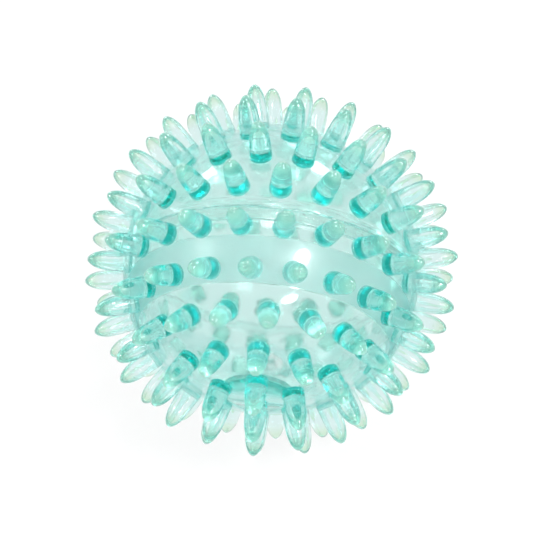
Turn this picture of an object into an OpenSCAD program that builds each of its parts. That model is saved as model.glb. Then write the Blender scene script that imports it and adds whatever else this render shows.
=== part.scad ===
// Hollow spiked ball moulded in clear soft plastic.
// The origin is the centre of the ball. The moulding axis runs along Y,
// and the two half shells meet on the plane y = 0. +Z is up.

/* [Body] */
// Outside diameter of the round body, without its spikes
body_d = 77.4; // [64:0.1:140]
// Thickness of the moulded wall
wall = 3; // [2:0.1:4]
// Diameter of the thick pad inside the front half's pole
pad_d = 18.2; // [14:0.2:22]
// Depth of the pad's inner face below the outside of the body
pad_depth = 5.6; // [4.8:0.1:9]

/* [Spikes] */
// Height of a spike above the body
spike_length = 11.3; // [7:0.1:16]
// Diameter of a spike where it leaves the body
root_d = 6.1; // [4:0.1:7]
// Height at which a spike starts to round over to its nose
shoulder_h = 4.5; // [2:0.1:6]
// Draft of a spike's side, which lets it leave its cavity
draft_angle = 3.8; // [1:0.1:6]
// How full the nose is: 2 is an ellipse, and more is blunter
nose_power = 2.7; // [1.8:0.1:4]
// Spikes in each ring of one half, from the pole to the seam
ring_counts = [6, 12, 17, 20, 22];
// Turn of the front half's first meridian about the moulding axis
front_turn = 145.8; // [0:0.1:360]
// Turn of the back half's first meridian about the moulding axis
back_turn = 194.9; // [0:0.1:360]

/* [Seam] */
// Width of the lap where one half slides into the other
lap_w = 3; // [1.5:0.1:4]
// Thickness of the bond that fills the lap
bond_t = 0.2; // [0.1:0.05:0.4]

/* [Valve] */
// Ring of the front half in which the valve takes the place of a spike
valve_ring = 4; // [1:1:4]
// Place in that ring, counted from the first meridian
valve_place = 7; // [0:1:19]
// Turn of the valve past that place about the moulding axis
valve_turn = -4; // [-5:0.5:5]
// Diameter of the valve plug's stem
plug_d = 7; // [5:0.1:8]
// Length of the valve plug from the body's surface inwards
plug_length = 5.5; // [4.8:0.1:9]
// Diameter of the valve plug's flange
flange_d = 9.4; // [8.6:0.1:10.4]
// Depth of the flange below the body's surface
flange_t = 1.1; // [0.9:0.1:1.3]
// Wall of the boss that grips the plug inside the ball
boss_wall = 3; // [1.6:0.1:3.4]
// Diameter of the channel that the pump needle enters
needle_d = 2.2; // [1.6:0.1:3]
// Diameter of the funnel that guides the needle in
funnel_d = 4.4; // [3.4:0.1:5]
// Depth of the funnel
funnel_depth = 1.6; // [0.8:0.1:2.4]
// Free space round the plug in its seat
plug_clear = 0.05; // [0.02:0.01:0.15]

/* [Hidden] */
$fn = 96;
// Facets round a spike, which is small beside the body
spike_facets = 48;
// Overrun of every cutting shape past the face that it cuts
over = 1;
// Straight steps along a nose, and across a spike's foot
nose_steps = 7;
foot_steps = 2;

body_r = body_d / 2;
inner_r = body_r - wall;
lap_r = body_r - wall / 2 + bond_t / 2;
root_r = root_d / 2;
ring_total = len(ring_counts);
// The rings divide a half evenly, with half a step left at the seam
ring_pitch = 180 / (2 * ring_total + 1);
flange_z = body_r - flange_t;
plug_z = body_r - plug_length;
boss_r = plug_d / 2 + boss_wall;
// The valve's place, counted round again where its ring has fewer spikes
valve_spot = valve_place % ring_counts[valve_ring - 1];

shell_colour = [0.62, 0.9, 0.87];
spike_colour = [0.35, 0.82, 0.78];
bond_colour = [0.2, 0.72, 0.7];
plug_colour = [0.9, 0.97, 0.96];

// Radius of a spike at a height above the body: a drafted side that
// rounds over from the shoulder to a blunt nose
function nose_share(h) = max(0, (h - shoulder_h) / (spike_length - shoulder_h));
function side_r(h) = root_r - h * tan(draft_angle);
function spike_r(h) = side_r(h) * sqrt(1 - pow(nose_share(h), nose_power));

// Height of a step of the nose: the steps close up towards the tip
function nose_h(i) = shoulder_h + (spike_length - shoulder_h) * sin(90 * i / nose_steps);

// Height of the body's surface above its centre, at a distance from the axis
function surface_z(x) = sqrt(body_r * body_r - x * x);

// Outline of a spike from its foot, which is hollowed to sit on the body
spike_outline = concat(
    [for (i = [0 : foot_steps]) [root_r * i / foot_steps, surface_z(root_r * i / foot_steps)]],
    [for (i = [0 : nose_steps - 1]) [spike_r(nose_h(i)), body_r + nose_h(i)]],
    [[0, body_r + spike_length]]
);

// The front half's pole points to -Y, the back half's to +Y
module to_front() {
    rotate([90, 0, 0]) rotate([0, 0, front_turn]) children();
}

module to_back() {
    rotate([-90, 0, 0]) rotate([0, 0, back_turn]) children();
}

module spike() {
    color(spike_colour) rotate_extrude($fn = spike_facets) polygon(spike_outline);
}

// Turns what points to the pole to one place of a ring.
// Each ring starts on the half's first meridian.
module at_place(ring, place) {
    rotate([0, 0, 360 * place / ring_counts[ring - 1]]) rotate([0, ring_pitch * ring, 0]) children();
}

module at_valve() {
    rotate([0, 0, valve_turn]) at_place(valve_ring, valve_spot) children();
}

// One ring of spikes, with the place of the valve left free
module spike_ring(ring, free_place = -1) {
    for (place = [0 : ring_counts[ring - 1] - 1])
        if (place != free_place) at_place(ring, place) spike();
}

// A block from one height to another that is wider than the ball
module slab(z_low, z_high) {
    side = body_d + 2 * over;
    translate([-side / 2, -side / 2, z_low])
        cube([side, side, z_high - z_low]);
}

module hollow_ball(outer, inner) {
    difference() {
        sphere(outer);
        sphere(inner);
    }
}

// Upper half of the wall, with its pole on +Z
module half_wall() {
    intersection() {
        hollow_ball(body_r, inner_r);
        slab(0, body_r + over);
    }
}

// A round block that grows inwards from the middle of the wall at the pole
module inner_block(radius, depth) {
    intersection() {
        sphere(body_r - wall / 2);
        translate([0, 0, body_r - depth]) cylinder(r = radius, h = depth);
    }
}

// Hole and flange seat for the valve plug, cut from the surface inwards
module plug_seat() {
    translate([0, 0, plug_z - over]) cylinder(d = plug_d + 2 * plug_clear, h = plug_length + 2 * over);
    translate([0, 0, flange_z]) cylinder(d = flange_d + 2 * plug_clear, h = flange_t + over);
}

// The front half has a pad at its pole and a boss that grips the valve plug.
// It is rebated inside its edge to take the back half's spigot.
module front_shell() {
    color(shell_colour) to_front() difference() {
        union() {
            half_wall();
            inner_block(pad_d / 2, pad_depth);
            at_valve() inner_block(boss_r, plug_length);
        }
        intersection() {
            sphere(lap_r);
            slab(-over, lap_w);
        }
        at_valve() plug_seat();
    }
}

// The back half carries the spigot of the lap
module back_shell() {
    color(shell_colour) to_back() union() {
        half_wall();
        intersection() {
            hollow_ball(lap_r - bond_t, inner_r);
            slab(-lap_w, wall / 2);
        }
    }
}

// The thin ring of cement between the spigot and the rebate
module seam_bond() {
    color(bond_colour) to_front() intersection() {
        hollow_ball(lap_r, lap_r - bond_t);
        slab(0, lap_w);
    }
}

module front_pole_spike() {
    to_front() spike();
}

module front_spike_ring(ring) {
    to_front() spike_ring(ring, ring == valve_ring ? valve_spot : -1);
}

module back_pole_spike() {
    to_back() spike();
}

module back_spike_ring(ring) {
    to_back() spike_ring(ring);
}

// Soft plug with a flange flush with the body and a channel for the needle
module valve_plug() {
    color(plug_colour) to_front() at_valve() difference() {
        union() {
            translate([0, 0, plug_z]) cylinder(d = plug_d, h = plug_length - flange_t / 2);
            intersection() {
                translate([0, 0, flange_z]) cylinder(d = flange_d, h = flange_t + over);
                sphere(body_r);
            }
        }
        translate([0, 0, plug_z - over]) cylinder(d = needle_d, h = plug_length + 2 * over);
        translate([0, 0, body_r - funnel_depth])
            cylinder(d1 = needle_d, d2 = funnel_d, h = funnel_depth);
    }
}

front_shell();
back_shell();
seam_bond();
front_pole_spike();
front_spike_ring(1);  // front_spike_ring_1
front_spike_ring(2);  // front_spike_ring_2
front_spike_ring(3);  // front_spike_ring_3
front_spike_ring(4);  // front_spike_ring_4
front_spike_ring(5);  // front_spike_ring_5
back_pole_spike();
back_spike_ring(1);  // back_spike_ring_1
back_spike_ring(2);  // back_spike_ring_2
back_spike_ring(3);  // back_spike_ring_3
back_spike_ring(4);  // back_spike_ring_4
back_spike_ring(5);  // back_spike_ring_5
valve_plug();
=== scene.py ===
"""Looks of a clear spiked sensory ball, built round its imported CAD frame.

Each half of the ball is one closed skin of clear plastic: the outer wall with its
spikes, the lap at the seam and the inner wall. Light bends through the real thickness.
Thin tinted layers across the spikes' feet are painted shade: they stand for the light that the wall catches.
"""

from __future__ import annotations

import logging
import math
from dataclasses import dataclass, field
from enum import Enum

import bpy
import numpy as np
from mathutils import Matrix, Vector
from mathutils.geometry import delaunay_2d_cdt

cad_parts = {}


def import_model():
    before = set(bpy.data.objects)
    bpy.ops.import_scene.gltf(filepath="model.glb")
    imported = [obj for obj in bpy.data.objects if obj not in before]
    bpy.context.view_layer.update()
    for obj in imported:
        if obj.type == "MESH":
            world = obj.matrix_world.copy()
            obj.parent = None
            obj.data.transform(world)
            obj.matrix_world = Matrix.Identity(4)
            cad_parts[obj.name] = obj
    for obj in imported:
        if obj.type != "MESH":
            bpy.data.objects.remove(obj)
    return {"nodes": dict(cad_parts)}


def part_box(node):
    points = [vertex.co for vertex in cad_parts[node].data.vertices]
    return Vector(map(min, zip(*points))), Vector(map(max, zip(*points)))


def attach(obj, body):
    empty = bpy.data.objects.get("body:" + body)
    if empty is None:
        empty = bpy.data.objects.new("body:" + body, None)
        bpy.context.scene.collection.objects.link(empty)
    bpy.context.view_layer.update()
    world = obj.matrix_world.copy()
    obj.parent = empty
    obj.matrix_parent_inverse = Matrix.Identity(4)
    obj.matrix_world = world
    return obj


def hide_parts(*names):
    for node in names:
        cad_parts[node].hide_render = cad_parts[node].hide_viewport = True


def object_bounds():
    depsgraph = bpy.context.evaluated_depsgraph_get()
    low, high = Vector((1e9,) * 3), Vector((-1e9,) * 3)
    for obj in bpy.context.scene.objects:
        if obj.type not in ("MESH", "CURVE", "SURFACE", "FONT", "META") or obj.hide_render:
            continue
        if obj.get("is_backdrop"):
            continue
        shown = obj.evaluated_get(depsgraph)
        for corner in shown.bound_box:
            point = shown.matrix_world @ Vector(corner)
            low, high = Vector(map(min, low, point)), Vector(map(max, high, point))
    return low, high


Colour = tuple[float, float, float, float]

LOG = logging.getLogger("sensory_ball")
MM = 0.001
WHITE = (1.0, 1.0, 1.0, 1.0)
BODY = "root"
PHOTO_SIDE_PX = 540.0
SEED = 11
# Range of the numbers that tell one spike's marks from the next one's
SPIKE_SEEDS = (1.0, 90.0)
# Area of a scattered point's cell over the square of the spacing
CELL_SHARE = 0.87


class Half(Enum):
    """The two mouldings, by the end of the Y axis that their pole points to."""

    FRONT = "front"
    BACK = "back"

    def to_row(self) -> np.ndarray:
        """Returns the rotation from a half's own frame, pole on +Z, to the row's frame."""
        sign = 1.0 if self is Half.FRONT else -1.0
        return np.array([[1.0, 0.0, 0.0], [0.0, 0.0, -sign], [0.0, sign, 0.0]])


def spin(axis: str, degrees: float) -> np.ndarray:
    """Rotation matrix about one axis.

    Args:
        axis: "X", "Y" or "Z".
        degrees: angle by the right-hand rule.

    Returns:
        A 3 by 3 array.
    """
    return np.array(Matrix.Rotation(math.radians(degrees), 3, axis))


def circle(radius: float, z: float, count: int) -> np.ndarray:
    """Points evenly round a circle about +Z at one height."""
    turn = np.arange(count) * (2.0 * math.pi / count)
    return np.stack([radius * np.cos(turn), radius * np.sin(turn), np.full(count, z)], axis=1)


@dataclass
class SpikeShape:
    """A solid spike: a drafted side that rounds over to a blunt nose. Lengths in mm."""

    root_r: float = 3.05
    length: float = 11.3
    shoulder: float = 4.5
    draft_deg: float = 3.8
    nose_power: float = 2.7
    sides: int = 36
    side_steps: int = 5
    nose_steps: int = 12

    def radius(self, h: np.ndarray) -> np.ndarray:
        """Radius at a height: (root - h tan draft) times sqrt(1 - share of the nose ^ power).

        Args:
            h: heights above the body.

        Returns:
            The spike's radius at each height.
        """
        nose = np.clip((h - self.shoulder) / (self.length - self.shoulder), 0.0, 1.0)
        side = self.root_r - h * math.tan(math.radians(self.draft_deg))
        return side * np.sqrt(1.0 - nose**self.nose_power)

    def heights(self) -> np.ndarray:
        """Works out the rows above the root, closer together towards the tip.

        Returns:
            The rows' heights above the body.
        """
        side = np.linspace(0.0, self.shoulder, self.side_steps + 1)[1:]
        turn = np.sin(np.linspace(0.0, math.pi / 2, self.nose_steps + 1))[1:]
        return np.concatenate([side, self.shoulder + (self.length - self.shoulder) * turn])


@dataclass
class RingLayout:
    """Where the spikes of one half stand. Every ring starts on the half's first meridian."""

    half: Half
    turn_deg: float
    counts: tuple[int, ...] = (6, 12, 17, 20, 22)
    free_ring: int = 0
    free_place: int = 0
    valve_turn_deg: float = 0.0

    @property
    def pitch_deg(self) -> float:
        """Angle between rings: a half holds the pole, the rings and half a step at the seam."""
        return 180.0 / (2 * len(self.counts) + 1)

    def place(self, ring: int, place: int) -> np.ndarray:
        """Rotation that takes the pole to one place of a ring."""
        around = 0.0 if ring == 0 else 360.0 * place / self.counts[ring - 1]
        return spin("Z", self.turn_deg + around) @ spin("Y", self.pitch_deg * ring)

    def spikes(self) -> list[np.ndarray]:
        """Works out where the spikes stand.

        Returns:
            One rotation from the pole for each spike, the pole's own first.
        """
        found = [self.place(0, 0)]
        for ring, count in enumerate(self.counts, start=1):
            taken = [(ring, k) for k in range(count) if (ring, k) != (self.free_ring, self.free_place)]
            found += [self.place(*where) for where in taken]
        return found

    def valve(self) -> np.ndarray:
        """Rotation to the valve, which stands close to the free place."""
        return spin("Z", self.valve_turn_deg) @ self.place(self.free_ring, self.free_place)


@dataclass
class MeshParts:
    """Collects the vertices and faces of one piece, with the spike values at each vertex."""

    points: list[np.ndarray] = field(default_factory=list)
    places: list[np.ndarray] = field(default_factory=list)
    seeds: list[np.ndarray] = field(default_factory=list)
    faces: list[list[int]] = field(default_factory=list)
    count: int = 0

    def add_points(self, points: np.ndarray, place: np.ndarray | None = None,
                   seed: float = 0.0) -> np.ndarray:
        """Adds vertices.

        Args:
            points: n by 3 array.
            place: each vertex's place in its spike's own frame, with the foot at height 0.
            seed: the spike's own number, 0 off the spikes.

        Returns:
            The new vertices' indices.
        """
        index = np.arange(self.count, self.count + len(points))
        self.points.append(points)
        self.places.append(np.zeros((len(points), 3)) if place is None else place)
        self.seeds.append(np.full(len(points), seed))
        self.count += len(points)
        return index

    def add_ring(self, radius: float, z: float, sides: int, turn: np.ndarray) -> np.ndarray:
        """Adds a circle about a turned Z axis and returns its indices."""
        return self.add_points(circle(radius, z, sides) @ turn.T)

    def strip(self, low: np.ndarray, high: np.ndarray) -> None:
        """Joins two rings of vertices by quads that face away from their axis."""
        quads = np.stack([low, np.roll(low, -1), np.roll(high, -1), high], axis=1)
        self.faces += quads.tolist()

    def loft(self, rings: list[np.ndarray]) -> None:
        """Joins each ring to the next one."""
        for low, high in zip(rings, rings[1:]):
            self.strip(low, high)

    def fan(self, ring: np.ndarray, apex: int) -> None:
        """Closes a ring with triangles to one vertex."""
        tris = np.stack([ring, np.roll(ring, -1), np.full(len(ring), apex)], axis=1)
        self.faces += tris.tolist()

    def to_object(self, name: str, to_row: np.ndarray, sharp_deg: float = 42.0) -> bpy.types.Object:
        """Turns the parts into an object with smooth walls and sharp corners.

        Args:
            name: the object's name.
            to_row: rotation from the parts' frame to the row's.
            sharp_deg: edges that turn more than this stay sharp.

        Returns:
            The object, at the origin and in metres.
        """
        data = bpy.data.meshes.new(name)
        data.from_pydata((np.concatenate(self.points) @ to_row.T * MM).tolist(), [], self.faces)
        data.shade_smooth()
        data.set_sharp_from_angle(angle=math.radians(sharp_deg))
        places = np.concatenate(self.places).astype(np.float32)
        data.attributes.new("place", "FLOAT_VECTOR", "POINT").data.foreach_set("vector", places.ravel())
        seeds = np.concatenate(self.seeds).astype(np.float32)
        data.attributes.new("seed", "FLOAT", "POINT").data.foreach_set("value", seeds)
        data.update()
        piece = bpy.data.objects.new(name, data)
        bpy.context.scene.collection.objects.link(piece)
        return piece


def golden_points(radius: float, spacing: float, low_z: float) -> np.ndarray:
    """Evenly scattered points on a sphere: z falls in equal steps as the turn grows by
    the golden angle.

    Args:
        radius: the sphere's radius.
        spacing: rough distance between neighbours.
        low_z: points below this height are left out.

    Returns:
        n by 3 array.
    """
    count = int(4.0 * math.pi * radius * radius / (spacing * spacing * CELL_SHARE))
    k = np.arange(count) + 0.5
    z = radius * (1.0 - 2.0 * k / count)
    turn = k * math.pi * (3.0 - math.sqrt(5.0))
    flat = np.sqrt(np.maximum(radius * radius - z * z, 0.0))
    points = np.stack([flat * np.cos(turn), flat * np.sin(turn), z], axis=1)
    return points[z > low_z]


@dataclass
class Cap:
    """Part of a sphere about the pole, down to a rim, with round holes in it. Lengths in mm.

    Loose points keep off the rim and the holes by shares of their spacing.
    """

    radius: float
    rim_z: float
    spacing: float
    rim_count: int = 240
    rim_share: float = 0.7
    hole_share: float = 0.45
    weld: float = 1e-9

    def flat_map(self, points: np.ndarray) -> np.ndarray:
        """Stereographic map from the far pole: x and y over radius plus z."""
        return points[:, :2] / (self.radius + points[:, 2:3])

    def build(self, mesh: MeshParts, holes: list[tuple[np.ndarray, float, int]],
              inside: bool) -> tuple[np.ndarray, list[np.ndarray]]:
        """Adds the cap to a mesh. The holes are kept as edges of a flat triangulation.

        Args:
            mesh: receives the points and triangles.
            holes: each a rotation from the pole, the hole's radius and its sides.
            inside: True for the inner wall, whose faces turn to the centre.

        Returns:
            The rim's indices, and the indices round each hole.
        """
        rims = [circle(math.sqrt(self.radius**2 - self.rim_z**2), self.rim_z, self.rim_count)]
        places = [rims[0] * 0.0]
        for turn, hole_r, sides in holes:
            rims.append(circle(hole_r, math.sqrt(self.radius**2 - hole_r**2), sides) @ turn.T)
            places.append(circle(hole_r, 0.0, sides))
        scatter = golden_points(self.radius, self.spacing, self.rim_z + self.rim_share * self.spacing)
        for turn, hole_r, _ in holes:
            near = np.arccos(np.clip(scatter @ turn[:, 2] / self.radius, -1.0, 1.0)) * self.radius
            scatter = scatter[near > hole_r + self.hole_share * self.spacing]
        points = np.concatenate(rims + [scatter])
        edges, start = [], 0
        for ring in rims:
            index = np.arange(start, start + len(ring))
            edges += np.stack([index, np.roll(index, -1)], axis=1).tolist()
            start += len(ring)
        flat = [Vector(p) for p in self.flat_map(points).tolist()]
        out = delaunay_2d_cdt(flat, edges, [], 0, self.weld)
        first = np.array([ids[0] for ids in out[3]])
        tris = first[np.array([list(f) for f in out[2]])]
        middle = points[tris].mean(axis=1)
        middle /= np.linalg.norm(middle, axis=1)[:, None]
        keep = np.ones(len(tris), bool)
        for turn, hole_r, sides in holes:
            inner = math.asin(hole_r / self.radius) * math.cos(math.pi / sides)
            keep &= np.arccos(np.clip(middle @ turn[:, 2], -1.0, 1.0)) > inner
        index = mesh.add_points(points, np.concatenate(places + [scatter * 0.0]))
        tris = index[tris[keep]]
        mesh.faces += (tris[:, ::-1] if inside else tris).tolist()
        splits = np.cumsum([len(r) for r in rims])
        groups = np.split(index[: splits[-1]], splits[:-1])
        return groups[0], groups[1:]


@dataclass
class ValveShape:
    """The needle valve's plug, its stepped seat and the boss round it. Lengths in mm."""

    plug_r: float = 3.5
    length: float = 5.5
    flange_r: float = 4.7
    flange_t: float = 1.1
    boss_wall: float = 3.0
    needle_r: float = 1.1
    funnel_r: float = 2.2
    funnel_depth: float = 1.6
    clear: float = 0.05
    soft: float = 0.15
    boss_soft: float = 0.3
    top_steps: int = 5
    sides: int = 72

    @property
    def boss_r(self) -> float:
        """Radius of the boss inside the wall."""
        return self.plug_r + self.boss_wall

    def build_plug(self, body_r: float, turn: np.ndarray, to_row: np.ndarray) -> bpy.types.Object:
        """Builds the plug, whose flange is flush with the body.

        Args:
            body_r: the body's radius.
            turn: rotation from the half's pole to the valve.
            to_row: rotation from the half's frame to the row's.

        Returns:
            The plug's object.
        """
        end_z, seat_z, soft = body_r - self.length, body_r - self.flange_t, self.soft
        across = np.linspace(self.flange_r - soft, self.funnel_r + soft, self.top_steps)
        top = [(r, math.sqrt(body_r**2 - r * r)) for r in across]
        edge_z = top[0][1] - soft
        profile = [(self.plug_r - soft, end_z), (self.plug_r, end_z + soft), (self.plug_r, seat_z)]
        profile += [(self.flange_r, seat_z), (self.flange_r, edge_z)] + top
        profile += [(self.funnel_r - soft, top[-1][1] - soft / 2)]
        profile += [(self.needle_r, body_r - self.funnel_depth)]
        profile += [(self.needle_r, end_z + soft), (self.needle_r + soft, end_z)]
        mesh = MeshParts()
        rings = [mesh.add_ring(r, z, self.sides, turn) for r, z in profile]
        mesh.loft(rings + rings[:1])
        return mesh.to_object("needle_valve_plug", to_row)


@dataclass
class HalfSkin:
    """One moulded half: wall, spikes and lap. The front half has a pole pad and the valve's boss.

    Lengths are in mm. The gaps keep the two halves' faces from lying in each other.
    """

    layout: RingLayout
    spike: SpikeShape
    valve: ValveShape
    body_r: float
    wall: float = 3.0
    lap_w: float = 3.0
    bond_t: float = 0.2
    pad_r: float = 9.1
    pad_depth: float = 5.6
    pad_soft: float = 0.5
    pad_bevel: float = 0.15
    pad_sides: int = 96
    edge_gap: float = 0.02
    lap_gap: float = 0.06
    lap_steps: int = 7
    spacing: float = 1.3

    @property
    def lap_r(self) -> float:
        """Radius of the front half's rebate."""
        return self.body_r - self.wall / 2 + self.bond_t / 2

    def rim_rings(self) -> list[tuple[float, float]]:
        """Works out the lap's rings, from the inner wall's rim to the outer wall's.

        Returns:
            Each ring's radius and height.
        """
        if self.layout.half is Half.FRONT:
            step_z, sphere_r = self.lap_w, self.lap_r
        else:
            step_z, sphere_r = self.lap_gap - self.lap_w, self.lap_r - self.bond_t
        heights = np.linspace(step_z, self.edge_gap, self.lap_steps)
        return [(math.sqrt(sphere_r**2 - z * z), float(z)) for z in heights]

    def add_spikes(self, mesh: MeshParts, roots: list[np.ndarray]) -> None:
        """Adds every spike's side and nose on the ring of vertices that it stands on.

        Args:
            mesh: receives the points and faces.
            roots: the indices round each spike's foot, in the layout's order.
        """
        rng = np.random.default_rng(SEED + len(self.layout.half.value))
        heights = self.spike.heights()
        radii = self.spike.radius(heights)
        rows = [circle(r, h, self.spike.sides) for r, h in zip(radii[:-1], heights[:-1])]
        place = np.concatenate(rows + [np.array([[0.0, 0.0, self.spike.length]])])
        for turn, root in zip(self.layout.spikes(), roots):
            points = (place + np.array([0.0, 0.0, self.body_r])) @ turn.T
            index = mesh.add_points(points, place, rng.uniform(*SPIKE_SEEDS))
            rings = [root] + np.split(index[:-1], len(rows))
            mesh.loft(rings)
            mesh.fan(rings[-1], int(index[-1]))

    def add_pad(self, mesh: MeshParts, rim: np.ndarray) -> None:
        """Adds the pad inside the pole, with a softened edge.

        Args:
            mesh: receives the points and faces.
            rim: indices round the pad's foot in the inner wall.
        """
        end_z, still = self.body_r - self.pad_depth, np.eye(3)
        soft, bevel = self.pad_soft, self.pad_bevel
        profile = [(self.pad_r, end_z + soft), (self.pad_r - bevel, end_z + bevel)]
        profile += [(self.pad_r - soft, end_z)]
        rings = [rim] + [mesh.add_ring(r, z, len(rim), still) for r, z in profile]
        mesh.loft(rings[::-1])
        middle = mesh.add_points(np.array([[0.0, 0.0, end_z]]))
        mesh.fan(rings[-1][::-1], int(middle[0]))

    def add_valve_seat(self, mesh: MeshParts, mouth: np.ndarray, boss: np.ndarray) -> None:
        """Adds the boss and the stepped hole for the plug.

        Args:
            mesh: receives the points and faces.
            mouth: indices round the flange's seat in the outer wall.
            boss: indices round the boss in the inner wall.
        """
        valve = self.valve
        hole_r, seat_r = valve.plug_r + valve.clear, valve.flange_r + valve.clear
        seat_z, end_z = self.body_r - valve.flange_t, self.body_r - valve.length
        profile = [(valve.boss_r, end_z + valve.boss_soft), (valve.boss_r - valve.boss_soft, end_z)]
        profile += [(hole_r, end_z), (hole_r, seat_z), (seat_r, seat_z)]
        turn = self.layout.valve()
        rings = [boss] + [mesh.add_ring(r, z, len(mouth), turn) for r, z in profile] + [mouth]
        mesh.loft(rings[::-1])

    def build(self) -> bpy.types.Object:
        """Builds the closed skin in the row's frame, in metres.

        Returns:
            The half's object, at the origin.
        """
        mesh = MeshParts()
        spikes, valve, is_front = self.layout.spikes(), self.valve, self.layout.half is Half.FRONT
        holes = [(turn, self.spike.root_r, self.spike.sides) for turn in spikes]
        inner_holes = []
        if is_front:
            holes.append((self.layout.valve(), valve.flange_r + valve.clear, valve.sides))
            inner_holes = [(self.layout.valve(), valve.boss_r, valve.sides)]
            inner_holes.append((np.eye(3), self.pad_r, self.pad_sides))
        rim, roots = Cap(self.body_r, self.edge_gap, self.spacing).build(mesh, holes, False)
        self.add_spikes(mesh, roots[: len(spikes)])
        rings = self.rim_rings()
        inner = Cap(self.body_r - self.wall, rings[0][1], self.spacing)
        inner_rim, inner_roots = inner.build(mesh, inner_holes, True)
        path = [inner_rim] + [mesh.add_ring(r, z, len(rim), np.eye(3)) for r, z in rings] + [rim]
        mesh.loft(path)
        if is_front:
            self.add_valve_seat(mesh, roots[-1], inner_roots[0])
            self.add_pad(mesh, inner_roots[1])
        return mesh.to_object(f"{self.layout.half.value}_half_skin", self.layout.half.to_row())


@dataclass
class RootShadeFilm:
    """Painted shade across every spike's foot: a thin round layer of stronger tint just inside the wall, for
    light that the wall leads a long way. In mm.
    """

    layout: RingLayout
    body_r: float
    film_r: float = 2.98
    depth: float = 0.15
    thick: float = 0.05
    sides: int = 20

    def build(self) -> bpy.types.Object:
        """Builds the closed layers of one half as one piece.

        Returns:
            The piece, in the row's frame.
        """
        mesh, rng = MeshParts(), np.random.default_rng(SEED)
        levels = [self.body_r - self.depth - self.thick, self.body_r - self.depth]
        ends = np.array([[0.0, 0.0, z] for z in levels])
        place = np.concatenate([circle(self.film_r, z, self.sides) for z in levels] + [ends])
        # one closed painted shade layer under each spike's foot
        for turn in self.layout.spikes():
            index = mesh.add_points(place @ turn.T, place, rng.uniform(*SPIKE_SEEDS))
            low, high = index[: self.sides], index[self.sides: 2 * self.sides]
            mesh.strip(low, high)
            mesh.fan(low[::-1], int(index[-2]))
            mesh.fan(high, int(index[-1]))
        return mesh.to_object(f"{self.layout.half.value}_spike_roots", self.layout.half.to_row())


@dataclass
class SeamBead:
    """The thin wavy bead of cement at the parting line, with droplets beside it.

    Lengths are in mm. The sways are shares of the bead's thickness and its height off the line.
    """

    body_r: float
    bead_r: float = 0.13
    steps: int = 720
    sides: int = 8
    wave_counts: tuple[int, int] = (3, 40)
    thick_sway: float = 0.22
    height_sway: float = 0.12
    bead_stretch: float = 1.6
    drops: int = 190
    drop_least: float = 0.1
    drop_extra: float = 0.28
    drop_bias: int = 3
    drop_flatness: float = 0.6
    drop_sides: int = 10
    drop_rows: int = 5
    drop_end_deg: float = 80.0
    zone_deg: tuple[float, float] = (-4.2, -0.4)

    def add_bead(self, mesh: MeshParts, rng: np.random.Generator) -> None:
        """Adds the bead: a ring whose thickness and height sway along the seam.

        A sway is a sum of sines of the turn, each divided by the root of its wave count.

        Args:
            mesh: receives the points and faces.
            rng: gives each sine its start.
        """
        turn = np.arange(self.steps) * (2.0 * math.pi / self.steps)
        waves = np.arange(*self.wave_counts)
        phase = rng.uniform(0.0, 2.0 * math.pi, (2, len(waves)))
        sway = [np.sum(np.sin(turn[:, None] * waves + p) / np.sqrt(waves), axis=1) for p in phase]
        thick = self.bead_r * (1.0 + self.thick_sway * sway[0])[:, None]
        height = (self.height_sway * sway[1])[:, None]
        side = np.arange(self.sides) * (2.0 * math.pi / self.sides)
        radius = self.body_r + thick * np.cos(side)
        z = height + self.bead_stretch * thick * np.sin(side)
        points = np.stack([radius * np.cos(turn)[:, None], radius * np.sin(turn)[:, None], z], axis=2)
        index = mesh.add_points(points.reshape(-1, 3)).reshape(self.steps, self.sides)
        for k in range(self.sides):
            mesh.strip(index[:, k], index[:, (k + 1) % self.sides])

    def add_drops(self, mesh: MeshParts, rng: np.random.Generator) -> None:
        """Adds flattened drops that stand half out of the wall. Small ones are the most common.

        Args:
            mesh: receives the points and faces.
            rng: gives each drop its size and place.
        """
        levels = np.radians(np.linspace(-self.drop_end_deg, self.drop_end_deg, self.drop_rows))
        for _ in range(self.drops):
            size = self.drop_least + self.drop_extra * rng.random() ** self.drop_bias
            lean = 90.0 + rng.uniform(*self.zone_deg)
            turn = spin("Z", rng.uniform(0.0, 360.0)) @ spin("Y", lean)
            half_h = self.drop_flatness * size
            profile = [(size * math.cos(a), self.body_r + half_h * math.sin(a)) for a in levels]
            rings = [mesh.add_ring(r, z, self.drop_sides, turn) for r, z in profile]
            mesh.loft(rings)
            poles = np.array([[0.0, 0.0, self.body_r - half_h], [0.0, 0.0, self.body_r + half_h]])
            ends = mesh.add_points(poles @ turn.T)
            mesh.fan(rings[0][::-1], int(ends[0]))
            mesh.fan(rings[-1], int(ends[1]))

    def build(self) -> bpy.types.Object:
        """Builds the bead and its drops as one piece.

        Returns:
            The piece, in the row's frame.
        """
        mesh, rng = MeshParts(), np.random.default_rng(SEED)
        self.add_bead(mesh, rng)
        self.add_drops(mesh, rng)
        return mesh.to_object("seam_bead", Half.FRONT.to_row())


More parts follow.
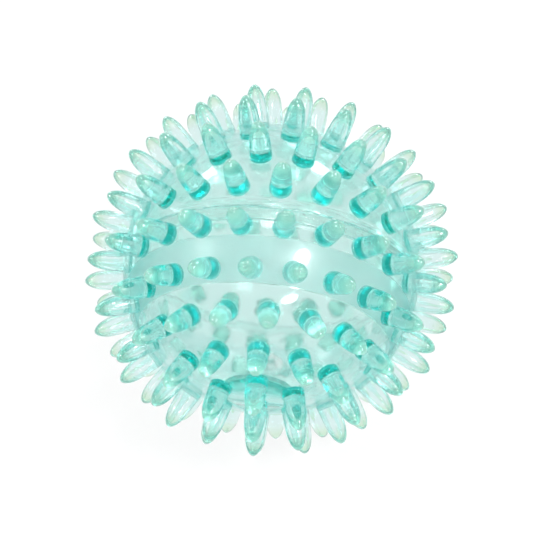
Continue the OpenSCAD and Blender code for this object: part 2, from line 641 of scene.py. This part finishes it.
class Nodes:
    """Adds and links shader nodes in one tree."""

    def __init__(self, tree: bpy.types.NodeTree) -> None:
        """Keeps the tree that nodes go into."""
        self.tree = tree

    def set_inputs(self, node: bpy.types.Node, **inputs: object) -> None:
        """Sets or links the inputs of a node.

        Args:
            node: the node.
            inputs: values, or sockets to link, by socket name with _ for a space, or by i and
                the socket's number.
        """
        for key, value in inputs.items():
            by_number = key[0] == "i" and key[1:].isdigit()
            socket = node.inputs[int(key[1:]) if by_number else key.replace("_", " ")]
            if isinstance(value, bpy.types.NodeSocket):
                self.tree.links.new(value, socket)
            else:
                socket.default_value = value

    def add(self, kind: str, settings: dict[str, object] | None = None, **inputs: object) -> bpy.types.Node:
        """Adds a node.

        Args:
            kind: the node's type without its ShaderNode prefix.
            settings: the node's own properties.
            inputs: as set_inputs takes them.

        Returns:
            The new node.
        """
        node = self.tree.nodes.new("ShaderNode" + kind)
        for key, value in (settings or {}).items():
            setattr(node, key, value)
        self.set_inputs(node, **inputs)
        return node

    def maths(self, operation: str, a: object, b: object = 0.0) -> bpy.types.NodeSocket:
        """Adds a Math node and returns its output."""
        return self.add("Math", {"operation": operation}, i0=a, i1=b).outputs[0]

    def times(self, *factors: object) -> bpy.types.NodeSocket:
        """Multiplies two or more values.

        Args:
            factors: numbers or sockets.

        Returns:
            The product.
        """
        product = factors[0]
        for factor in factors[1:]:
            product = self.maths("MULTIPLY", product, factor)
        return product

    def ramp(self, value: object, start: float, end: float) -> bpy.types.NodeSocket:
        """Adds a smooth step from 0 to 1.

        Args:
            value: number or socket.
            start: where the step is 0.
            end: where it is 1, on either side of the start.

        Returns:
            The step.
        """
        settings = {"interpolation_type": "SMOOTHSTEP"}
        if start < end:
            return self.add("MapRange", settings, Value=value, From_Min=start, From_Max=end).outputs[0]
        step = self.add("MapRange", settings, Value=value, From_Min=end, From_Max=start)
        return self.maths("SUBTRACT", 1.0, step.outputs[0])

    def peak(self, value: object, centre: float, width: float) -> bpy.types.NodeSocket:
        """1 at the centre, falling smoothly to 0 at a width to each side."""
        away = self.maths("ABSOLUTE", self.maths("SUBTRACT", value, centre))
        return self.ramp(away, width, 0.0)

    def mix(self, share: object, low: object, high: object) -> bpy.types.NodeSocket:
        """Blends two colours by a share from 0 to 1."""
        return self.add("Mix", {"data_type": "RGBA"}, i0=share, i6=low, i7=high).outputs[2]

    def add_scaled(self, total: object, value: object, scale: object) -> bpy.types.NodeSocket:
        """The total plus the value times the scale."""
        return self.maths("ADD", total, self.times(value, scale))

    def slope(self, value: object, edges: tuple[float, float],
              ends: tuple[float, float]) -> bpy.types.NodeSocket:
        """Straight step between two ends, as the value goes from one edge to the other."""
        settings = dict(zip(("From_Min", "From_Max", "To_Min", "To_Max"), edges + ends))
        return self.add("MapRange", Value=value, **settings).outputs[0]

    def spike_values(self) -> tuple[bpy.types.NodeSocket, bpy.types.NodeSocket]:
        """Returns a point's place in its spike's own frame, and the spike's number."""
        place = self.add("Attribute", {"attribute_name": "place"}).outputs["Vector"]
        return place, self.add("Attribute", {"attribute_name": "seed"}).outputs["Fac"]

    def way_round(self, place: object) -> bpy.types.NodeSocket:
        """Unit vector from a spike's axis, square to it, to a place on the spike."""
        flat = self.add("VectorMath", {"operation": "MULTIPLY"}, i0=place, i1=(1.0, 1.0, 0.0)).outputs[0]
        return self.add("VectorMath", {"operation": "NORMALIZE"}, i0=flat).outputs[0]

    def group(self, tree: bpy.types.NodeTree, **inputs: object) -> bpy.types.bpy_prop_collection:
        """Adds a shared group and returns its outputs."""
        return self.add("Group", {"node_tree": tree}, **inputs).outputs


def new_material(name: str) -> tuple[bpy.types.Material, Nodes, bpy.types.Node, bpy.types.Node]:
    """Starts a material.

    Args:
        name: the material's name.

    Returns:
        The material, its node helper, its Principled BSDF and its output.
    """
    material = bpy.data.materials.new(name)
    material.use_nodes = True
    material.node_tree.nodes.clear()
    nodes = Nodes(material.node_tree)
    shader = nodes.add("BsdfPrincipled")
    output = nodes.add("OutputMaterial", Surface=shader.outputs[0])
    return material, nodes, shader, output


def start_group(name: str, inputs: dict[str, str],
                outputs: list[str]) -> tuple[Nodes, bpy.types.Node, bpy.types.Node]:
    """Starts a shared shader group, which puts out masks and heights only.

    Args:
        name: the group's name.
        inputs: socket kinds by name.
        outputs: names of the plain number outputs.

    Returns:
        The node helper, the input node and the output node.
    """
    tree = bpy.data.node_groups.new(name, "ShaderNodeTree")
    for key, kind in inputs.items():
        tree.interface.new_socket(name=key, in_out="INPUT", socket_type="NodeSocket" + kind)
    for key in outputs:
        tree.interface.new_socket(name=key, in_out="OUTPUT", socket_type="NodeSocketFloat")
    return Nodes(tree), tree.nodes.new("NodeGroupInput"), tree.nodes.new("NodeGroupOutput")


@dataclass(frozen=True)
class BallZones:
    """Masks of the ball's zones. Most edges are sines of the latitude, below 0 on the front half.

    The polished patch lies at a turn about the Y axis, in radians. The skin's edges are in mm
    from the body's radius.
    """

    body_r: float
    belt_low: tuple[float, float] = (-0.507, -0.498)
    belt_high: tuple[float, float] = (-0.205, -0.218)
    strip_low: tuple[float, float] = (-0.218, -0.205)
    strip_high: tuple[float, float] = (0.03, -0.02)
    high_line: tuple[float, float] = (-0.213, 0.004)
    low_line: tuple[float, float] = (-0.502, 0.005)
    back: tuple[float, float] = (-0.1, 0.1)
    skin: tuple[float, float] = (-0.7, -0.3)
    patch_turn: float = 0.26
    patch_sine: float = -0.3
    patch_sides: tuple[float, float] = (0.17, 0.14)
    patch_ends: tuple[float, float] = (0.085, 0.07)

    def build(self) -> bpy.types.NodeTree:
        """Builds the group. The sine of the latitude is y over the distance from the centre.

        Returns:
            The group: frosted belt with its polished patch, smooth strip beside the seam, fine lines
            at the belt's edges, outer skin and back half.
        """
        outputs = ["Belt", "Strip", "Lines", "Outer", "Back", "Polish"]
        nodes, source, out = start_group("ball_zones", {"Point": "Vector"}, outputs)
        far = nodes.add("VectorMath", {"operation": "LENGTH"}, i0=source.outputs[0]).outputs["Value"]
        axes = nodes.add("SeparateXYZ", i0=source.outputs[0]).outputs
        sine = nodes.maths("DIVIDE", axes["Y"], far)
        around = nodes.maths("ARCTAN2", axes["X"], axes["Z"])
        aside = nodes.maths("ABSOLUTE", nodes.maths("SUBTRACT", around, self.patch_turn))
        above = nodes.maths("ABSOLUTE", nodes.maths("SUBTRACT", sine, self.patch_sine))
        skin = [(self.body_r + edge) * MM for edge in self.skin]
        nodes.set_inputs(
            out,
            Belt=nodes.times(nodes.ramp(sine, *self.belt_low), nodes.ramp(sine, *self.belt_high)),
            Strip=nodes.times(nodes.ramp(sine, *self.strip_low), nodes.ramp(sine, *self.strip_high)),
            Lines=nodes.maths("ADD", nodes.peak(sine, *self.high_line), nodes.peak(sine, *self.low_line)),
            Outer=nodes.ramp(far, *skin),
            Back=nodes.ramp(sine, *self.back),
            Polish=nodes.times(nodes.ramp(aside, *self.patch_sides), nodes.ramp(above, *self.patch_ends)),
        )
        return nodes.tree


@dataclass(frozen=True)
class FrostGrain:
    """Fine sandblasted grain: two noises, by scale per metre, detail and height in mm."""

    coarse: tuple[float, float, float] = (1900.0, 2.0, 0.05)
    fine: tuple[float, float, float] = (5200.0, 1.0, 0.02)

    def build(self) -> bpy.types.NodeTree:
        """Builds the group.

        Returns:
            The group, with a height in mm.
        """
        nodes, source, out = start_group("frost_grain", {"Point": "Vector"}, ["Height"])
        heights = []
        for scale, detail, height in (self.coarse, self.fine):
            noise = nodes.add("TexNoise", Vector=source.outputs[0], Scale=scale, Detail=detail).outputs["Fac"]
            heights.append(nodes.times(noise, height))
        nodes.set_inputs(out, Height=nodes.maths("ADD", *heights))
        return nodes.tree


@dataclass(frozen=True)
class SeamRipples:
    """Flow ripples that run along the seam: noise drawn out along the turn about Y.

    The ends are in mm from the seam. The ripples are stronger on the side of one turn.
    """

    along: float = 2.6
    across: float = 1500.0
    distortion: float = 0.6
    front_end: tuple[float, float] = (-4.2, -3.0)
    back_end: tuple[float, float] = (3.0, 1.2)
    strong_turn: float = 0.9
    strong_edges: tuple[float, float] = (-0.2, 0.9)
    height: float = 0.04
    strong_height: float = 0.16

    def build(self) -> bpy.types.NodeTree:
        """Builds the group.

        Returns:
            The group, with a height in mm.
        """
        nodes, source, out = start_group("seam_ripples", {"Point": "Vector"}, ["Height"])
        axes = nodes.add("SeparateXYZ", i0=source.outputs[0]).outputs
        around = nodes.maths("ARCTAN2", axes["X"], axes["Z"])
        along, across = nodes.times(around, self.along), nodes.times(axes["Y"], self.across)
        place = nodes.add("CombineXYZ", X=along, Y=across).outputs[0]
        noise = nodes.add("TexNoise", Vector=place, Scale=1.0, Detail=2.0, Distortion=self.distortion)
        side = nodes.maths("SINE", nodes.maths("ADD", around, self.strong_turn))
        amount = nodes.add_scaled(self.height, nodes.ramp(side, *self.strong_edges), self.strong_height)
        ends = [nodes.ramp(axes["Y"], a * MM, b * MM) for a, b in (self.front_end, self.back_end)]
        nodes.set_inputs(out, Height=nodes.times(*ends, amount, noise.outputs["Fac"]))
        return nodes.tree


@dataclass(frozen=True)
class SpikeMarks:
    """Marks that the mould leaves on a spike: streaks along it, rings, an insert line and a pip.

    Levels are heights above the foot in mm. The depths are the marks' own heights in mm.
    """

    streak_scale: float = 5.5
    streak_drift: float = 0.05
    ring_scale: float = 2.2
    tip_levels: tuple[float, float] = (4.5, 8.5)
    tip_share: float = 0.4
    insert_levels: tuple[float, float] = (7.0, 8.4)
    insert_share: float = 0.6
    nose_levels: tuple[float, float] = (6.0, 11.0)
    side_ring_depth: float = 0.006
    tip_ring_depth: float = 0.015
    line_level: float = 7.4
    line_width: float = 0.12
    line_depth: float = -0.03
    pip_levels: tuple[float, float] = (11.05, 11.25)
    pip_depth: float = 0.2
    foot_levels: tuple[float, float] = (4.5, 1.5)
    foot_depth: float = 0.12
    side_levels: tuple[float, float] = (9.5, 6.0)
    side_depth: float = 0.045
    seed_edges: tuple[float, float] = (0.01, 0.3)

    def build(self) -> bpy.types.NodeTree:
        """Builds the group.

        Returns:
            The group, with a height in mm and masks of the spike, of its tip and of its nose.
        """
        sockets = {"Place": "Vector", "Seed": "Float"}
        nodes, source, out = start_group("spike_marks", sockets, ["Height", "Spike", "Tip", "Nose"])
        axes = nodes.add("SeparateXYZ", i0=source.outputs["Place"]).outputs
        level, seed = axes["Z"], source.outputs["Seed"]
        turned = nodes.add("SeparateXYZ", i0=nodes.way_round(source.outputs["Place"])).outputs
        slow = nodes.add_scaled(seed, level, self.streak_drift)
        place = nodes.add("CombineXYZ", X=turned["X"], Y=turned["Y"], Z=slow).outputs[0]
        streak = nodes.add("TexNoise", Vector=place, Scale=self.streak_scale, Detail=2.0).outputs["Fac"]
        way = nodes.maths("ADD", level, seed)
        wobble = nodes.add("TexNoise", {"noise_dimensions": "1D"}, W=way, Scale=self.ring_scale, Detail=2.0)
        tip = nodes.times(nodes.ramp(level, *self.tip_levels), self.tip_share)
        tip = nodes.add_scaled(tip, nodes.ramp(level, *self.insert_levels), self.insert_share)
        foot = nodes.times(nodes.ramp(level, *self.foot_levels), self.foot_depth)
        flutes = nodes.add_scaled(foot, nodes.ramp(level, *self.side_levels), self.side_depth)
        ring_depth = nodes.add_scaled(self.side_ring_depth, tip, self.tip_ring_depth)
        pip = nodes.times(streak, self.pip_depth)
        total = nodes.add_scaled(nodes.times(streak, flutes), wobble.outputs["Fac"], ring_depth)
        total = nodes.add_scaled(total, nodes.peak(level, self.line_level, self.line_width), self.line_depth)
        total = nodes.add_scaled(total, nodes.ramp(level, *self.pip_levels), pip)
        on_spike = nodes.ramp(seed, *self.seed_edges)
        masked = {"Height": total, "Tip": tip, "Nose": nodes.ramp(level, *self.nose_levels)}
        values = {key: nodes.times(value, on_spike) for key, value in masked.items()}
        nodes.set_inputs(out, Spike=on_spike, **values)
        return nodes.tree


@dataclass(frozen=True)
class ClearPlastic:
    """Clear tinted soft plastic. Its depth of colour comes from the way light takes through it.

    Each zone adds its own roughness to the skin's. Depths are in mm.
    """

    name: str = "clear_turquoise_plastic"
    tint: Colour = (0.985, 0.995, 0.99, 1.0)
    tip_tint: Colour = (0.87, 0.965, 0.78, 1.0)
    belt_tint: Colour = (0.75, 0.94, 0.925, 1.0)
    inner_tint: Colour = (0.9, 0.985, 0.965, 1.0)
    absorb: Colour = (0.0, 0.88, 0.83, 1.0)
    density: float = 43.0
    ior: float = 1.5
    coat_ior: float = 1.85
    belt_coat: float = 0.35
    nose_fade: float = 6.0
    clear: float = 1.0
    roughness: float = 0.012
    tip_roughness: float = 0.24
    back_inner_roughness: float = 0.17
    front_inner_roughness: float = 0.11
    strip_roughness: float = 0.05
    belt_roughness: float = 0.33
    line_depth: float = -0.05
    wave_scale: float = 170.0
    wave_depth: float = 0.2

    def build(self, effects: dict[str, bpy.types.NodeTree]) -> bpy.types.Material:
        """Builds the material.

        Args:
            effects: the shared shader groups by name.

        Returns:
            The clear plastic.
        """
        material, nodes, shader, output = new_material(self.name)
        point = nodes.add("TexCoord").outputs["Object"]
        place, seed = nodes.spike_values()
        zones = nodes.group(effects["zones"], Point=point)
        grain = nodes.group(effects["grain"], Point=point)
        ripples = nodes.group(effects["ripples"], Point=point)
        marks = nodes.group(effects["spike_marks"], Place=place, Seed=seed)
        bare = nodes.maths("SUBTRACT", 1.0, marks["Spike"])
        frost = nodes.times(zones["Belt"], zones["Outer"], bare)
        strip = nodes.times(zones["Strip"], bare)
        inside = nodes.maths("SUBTRACT", 1.0, nodes.maths("MAXIMUM", zones["Outer"], marks["Spike"]))
        inner_ends = (self.front_inner_roughness, self.back_inner_roughness)
        inner_rough = nodes.slope(zones["Back"], (0.0, 1.0), inner_ends)
        rough = nodes.add_scaled(self.roughness, frost, self.belt_roughness)
        rough = nodes.add_scaled(rough, strip, self.strip_roughness)
        rough = nodes.add_scaled(rough, marks["Tip"], self.tip_roughness)
        rough = nodes.add_scaled(rough, inside, inner_rough)
        lines = nodes.times(zones["Lines"], zones["Outer"], bare)
        waves = nodes.add("TexNoise", Vector=point, Scale=self.wave_scale, Detail=1.0).outputs["Fac"]
        height = nodes.add_scaled(marks["Height"], lines, self.line_depth)
        height = nodes.add_scaled(height, grain["Height"], frost)
        height = nodes.add_scaled(height, ripples["Height"], bare)
        height = nodes.add_scaled(height, nodes.times(inside, self.wave_depth), waves)
        bump = nodes.add("Bump", Height=height, Strength=1.0, Distance=MM)
        colour = nodes.mix(marks["Nose"], self.tint, self.tip_tint)
        colour = nodes.mix(frost, colour, self.belt_tint)
        colour = nodes.mix(inside, colour, self.inner_tint)
        glaze = nodes.times(frost, zones["Polish"], self.belt_coat)
        polish = nodes.maths("MAXIMUM", nodes.maths("POWER", marks["Nose"], self.nose_fade), glaze)
        nodes.set_inputs(shader, Base_Color=colour, Roughness=rough, Normal=bump.outputs[0])
        nodes.set_inputs(shader, Coat_Weight=polish, Coat_IOR=self.coat_ior)
        nodes.set_inputs(shader, Transmission_Weight=self.clear, IOR=self.ior)
        volume = nodes.add("VolumeAbsorption", Color=self.absorb, Density=self.density)
        nodes.set_inputs(output, Volume=volume.outputs[0])
        return material


@dataclass(frozen=True)
class RootShadeTint:
    """Painted shade: the tint of the layers at the spikes' feet. It doesn't bend light.

    It stands in for light that slants past the critical angle, is trapped in the wall and goes a long way in
    it: the layers colour slanting rays a saturated teal, by their facing, and leave straight light clear.
    """

    name: str = "painted_root_shade"
    clear: Colour = WHITE
    painted_shade: Colour = (0.01, 0.96, 0.965, 1.0)
    slant: tuple[float, float] = (0.27, 0.36)
    streak: float = 0.35
    streak_scale: float = 6.0
    streak_edges: tuple[float, float] = (0.4, 0.52)

    def build(self) -> bpy.types.Material:
        """Builds the material.

        Returns:
            The painted shade tint.
        """
        material, nodes, shader, _ = new_material(self.name)
        facing = nodes.add("LayerWeight", Blend=0.5).outputs["Facing"]
        place, seed = nodes.spike_values()
        settings, ring = {"noise_dimensions": "4D"}, nodes.way_round(place)
        noise = nodes.add("TexNoise", settings, Vector=ring, W=seed, Scale=self.streak_scale, Detail=2.0)
        streak = nodes.slope(noise.outputs["Fac"], self.streak_edges, (self.streak, 1.0))
        # painted shade: rays that slant through the layer turn saturated teal, broken into streaks round the
        # foot
        painted_shade_share = nodes.times(nodes.ramp(facing, *self.slant), streak)
        colour = nodes.mix(painted_shade_share, self.clear, self.painted_shade)
        nodes.set_inputs(shader, Base_Color=colour, Roughness=0.0, Transmission_Weight=1.0, IOR=1.0)
        return material


@dataclass(frozen=True)
class MilkyRubber:
    """The valve plug's soft rubber: cloudy, with a fine grain."""

    name: str = "milky_valve_rubber"
    tint: Colour = (0.95, 0.985, 0.975, 1.0)
    clear: float = 0.96
    ior: float = 1.45
    roughness: float = 0.06
    cloud_roughness: float = 0.12
    cloud_scale: float = 420.0
    grain_strength: float = 0.5

    def build(self, effects: dict[str, bpy.types.NodeTree]) -> bpy.types.Material:
        """Builds the material.

        Args:
            effects: the shared shader groups by name.

        Returns:
            The rubber.
        """
        material, nodes, shader, _ = new_material(self.name)
        point = nodes.add("TexCoord").outputs["Object"]
        grain = nodes.group(effects["grain"], Point=point)
        bump = nodes.add("Bump", Height=grain["Height"], Strength=self.grain_strength, Distance=MM)
        cloud = nodes.add("TexNoise", Vector=point, Scale=self.cloud_scale, Detail=2.0).outputs["Fac"]
        rough = nodes.add_scaled(self.roughness, cloud, self.cloud_roughness)
        nodes.set_inputs(shader, Base_Color=self.tint, Roughness=rough, Normal=bump.outputs[0])
        nodes.set_inputs(shader, Transmission_Weight=self.clear, IOR=self.ior)
        return material


@dataclass(frozen=True)
class Lamp:
    """An oval soft box that faces the ball.

    Its way is along the picture's right, up and towards the camera, its size is in metres and
    its radiance is against white paper at 1.
    """

    name: str
    way: tuple[float, float, float]
    size: tuple[float, float]
    radiance: float

    def build(self, distance: float) -> None:
        """Adds the lamp. Its power is pi times its area times its radiance.

        Args:
            distance: from the ball's centre, in metres.
        """
        axes = bpy.context.scene.camera.matrix_world.to_3x3()
        place = (axes @ Vector(self.way)).normalized() * distance
        data = bpy.data.lights.new(self.name, "AREA")
        data.shape = "ELLIPSE"
        data.size, data.size_y = self.size
        data.energy = math.pi * (math.pi / 4.0 * data.size * data.size_y) * self.radiance
        lamp = bpy.data.objects.new(self.name, data)
        turn = place.to_track_quat("Z", "Y").to_matrix()
        lamp.matrix_world = Matrix.Translation(place) @ turn.to_4x4()
        bpy.context.scene.collection.objects.link(lamp)


@dataclass
class Studio:
    """Floor, lamps, world and camera. The camera matches the photograph's view.

    The floor's glow is the share of plain white that the camera sees in it. The world is dimmer
    on the photograph's side, between two cosines of the angle to its view.
    """

    floor_z: float
    body_r: float
    pole_angle_deg: float = 64.84
    meridian_deg: float = 6.77
    lean_deg: float = 6.45
    distance_share: float = 22.0
    lamp_distance: float = 0.9
    floor_glow: float = 0.82
    near_light: float = 0.73
    far_light: float = 0.92
    side_edges: tuple[float, float] = (-0.2, 0.5)
    floor_r: float = 4.0
    floor_sides: int = 96
    floor_white: float = 0.95
    floor_roughness: float = 0.9
    sensor_mm: float = 36.0
    clip_start: float = 0.01
    lamps: tuple[Lamp, ...] = (
        Lamp("right_window", (0.387, 0.143, 0.909), (0.3, 0.19), 17.0),
        Lamp("left_window", (-0.8, 0.15, 0.55), (0.18, 0.18), 7.0),
        Lamp("upper_front", (-0.05, 0.6, 0.8), (0.17, 0.12), 9.0),
        Lamp("lower_front", (0.238, -0.365, 0.9), (0.21, 0.1), 16.0),
        Lamp("right_core", (0.39, 0.14, 0.91), (0.09, 0.09), 90.0),
        Lamp("left_core", (-0.78, 0.3, 0.55), (0.09, 0.09), 75.0),
        Lamp("upper_core", (0.05, 0.62, 0.78), (0.08, 0.08), 75.0),
        Lamp("top_right", (0.389, 0.907, -0.16), (0.3, 0.2), 9.0),
        Lamp("top_left", (-0.5, 0.84, -0.207), (0.25, 0.16), 9.0),
        Lamp("low_left", (-0.415, -0.904, 0.098), (0.14, 0.1), 10.0),
        Lamp("low_right", (0.773, -0.454, -0.442), (0.12, 0.12), 10.0),
    )
    body_px: float = 144.6
    centre_px: tuple[float, float] = (271.4, 270.6)

    def camera_direction(self) -> Vector:
        """Works out the way to the camera from its angles at the ball's centre.

        Returns:
            A vector of length 1.
        """
        off = math.radians(self.pole_angle_deg)
        around = math.radians(self.meridian_deg)
        return Vector((math.sin(off) * math.sin(around), -math.cos(off), math.sin(off) * math.cos(around)))

    def build_camera(self) -> None:
        """Adds the camera, turned so that the front pole leans as in the photograph."""
        back = self.camera_direction()
        pole = Vector((0.0, -1.0, 0.0))
        shown = (pole - back * pole.dot(back)).normalized()
        lean = math.radians(self.lean_deg)
        up = -math.cos(lean) * shown - math.sin(lean) * back.cross(shown)
        right = up.cross(back)
        data = bpy.data.cameras.new("photo_camera")
        distance = self.distance_share * self.body_r
        data.sensor_width = self.sensor_mm
        data.lens = self.body_px * self.distance_share / PHOTO_SIDE_PX * data.sensor_width
        data.shift_x = (PHOTO_SIDE_PX / 2 - self.centre_px[0]) / PHOTO_SIDE_PX
        data.shift_y = (self.centre_px[1] - PHOTO_SIDE_PX / 2) / PHOTO_SIDE_PX
        data.clip_start = self.clip_start
        camera = bpy.data.objects.new("photo_camera", data)
        turn = Matrix((right, up, back)).transposed()
        camera.matrix_world = Matrix.Translation(back * distance) @ turn.to_4x4()
        bpy.context.scene.collection.objects.link(camera)
        bpy.context.scene.camera = camera

    def build_floor(self) -> None:
        """Adds the round pale floor, which glass and gloss see as an even white."""
        points = circle(self.floor_r, self.floor_z, self.floor_sides)
        data = bpy.data.meshes.new("floor")
        data.from_pydata(points.tolist(), [], [list(range(self.floor_sides))])
        floor = bpy.data.objects.new("floor", data)
        material, nodes, shader, output = new_material("white_floor")
        nodes.set_inputs(shader, Base_Color=(self.floor_white,) * 3 + (1.0,))
        nodes.set_inputs(shader, Roughness=self.floor_roughness, Specular_IOR_Level=0.0)
        path = nodes.add("LightPath")
        seen = path.outputs["Is Camera Ray"]
        through = nodes.maths("MAXIMUM", path.outputs["Is Glossy Ray"], path.outputs["Is Transmission Ray"])
        through = nodes.maths("MAXIMUM", through, nodes.times(seen, self.floor_glow))
        glow = nodes.slope(seen, (0.0, 1.0), (self.far_light, 1.0))
        white = nodes.add("Emission", Color=WHITE, Strength=glow)
        mix = nodes.add("MixShader", i0=through, i1=shader.outputs[0], i2=white.outputs[0])
        nodes.set_inputs(output, Surface=mix.outputs[0])
        data.materials.append(material)
        bpy.context.scene.collection.objects.link(floor)
        floor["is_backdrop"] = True

    def build_world(self) -> None:
        """Lights the scene evenly, with white behind the object for the camera and for glass."""
        world = bpy.data.worlds.new("studio")
        bpy.context.scene.world = world
        world.use_nodes = True
        world.node_tree.nodes.clear()
        nodes = Nodes(world.node_tree)
        path = nodes.add("LightPath")
        way = nodes.add("TexCoord").outputs["Generated"]
        photo_side = self.camera_direction()
        cosine = nodes.add("VectorMath", {"operation": "DOT_PRODUCT"}, i0=way, i1=photo_side).outputs["Value"]
        strength = nodes.slope(cosine, self.side_edges, (self.far_light, self.near_light))
        soft = nodes.add("Background", Color=WHITE, Strength=strength)
        white = nodes.add("Background", Color=WHITE, Strength=1.0)
        seen = path.outputs["Is Camera Ray"]
        mix = nodes.add("MixShader", i0=seen, i1=soft.outputs[0], i2=white.outputs[0])
        nodes.add("OutputWorld", Surface=mix.outputs[0])

    def build(self) -> None:
        """Builds the whole studio."""
        self.build_camera()
        self.build_floor()
        self.build_world()
        for lamp in self.lamps:
            lamp.build(self.lamp_distance)


def set_render_look() -> None:
    """Plain view transform, and enough light bounces for clear walls and spikes."""
    scene = bpy.context.scene
    scene.view_settings.view_transform = "Standard"
    scene.cycles.max_bounces = 96
    scene.cycles.transmission_bounces = 64
    scene.cycles.glossy_bounces = 64
    scene.cycles.diffuse_bounces = 12


def main() -> None:
    """Loads the frame, builds every piece and reports it."""
    logging.basicConfig(level=logging.INFO, format="%(message)s")
    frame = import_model()
    low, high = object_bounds()
    shell_low, shell_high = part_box("front_shell")
    body_r = (shell_high.x - shell_low.x) / 2 / MM
    spike = SpikeShape(length=-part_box("front_pole_spike")[0].y / MM - body_r)
    valve = ValveShape()
    front_layout = RingLayout(Half.FRONT, turn_deg=145.8, free_ring=4, free_place=7, valve_turn_deg=-4.0)
    front = HalfSkin(front_layout, spike, valve, body_r)
    back = HalfSkin(RingLayout(Half.BACK, turn_deg=194.9), spike, valve, body_r)
    makers = {"zones": BallZones(body_r), "grain": FrostGrain(), "ripples": SeamRipples(),
              "spike_marks": SpikeMarks()}
    effects = {key: maker.build() for key, maker in makers.items()}
    plastic = ClearPlastic().build(effects)
    names = list(frame["nodes"])
    plug = valve.build_plug(body_r, front_layout.valve(), Half.FRONT.to_row())
    pieces = [(front.build(), plastic, "shell_pvc", [n for n in names if n.startswith("front")])]
    pieces.append((back.build(), plastic, "shell_pvc", [n for n in names if n.startswith("back")]))
    # painted shade layers at the spikes' feet, standing in for light led through the wall
    root_shade_tint = RootShadeTint().build()
    for half in (front, back):
        pieces.append((RootShadeFilm(half.layout, body_r).build(), root_shade_tint, "spike_pvc", []))
    pieces.append((SeamBead(body_r).build(), plastic, "bond_pvc", ["seam_bond"]))
    pieces.append((plug, MilkyRubber().build(effects), "valve_plug", ["valve_plug"]))
    for piece, material, slot_name, stands_for in pieces:
        piece.data.materials.append(material)
        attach(piece, BODY)
        if stands_for:
            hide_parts(*stands_for)
        LOG.info("%s: %d points, %d faces", piece.name, len(piece.data.vertices), len(piece.data.polygons))
    Studio(low.z, body_r * MM).build()
    set_render_look()
    low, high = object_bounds()


if __name__ == "__main__":
    main()
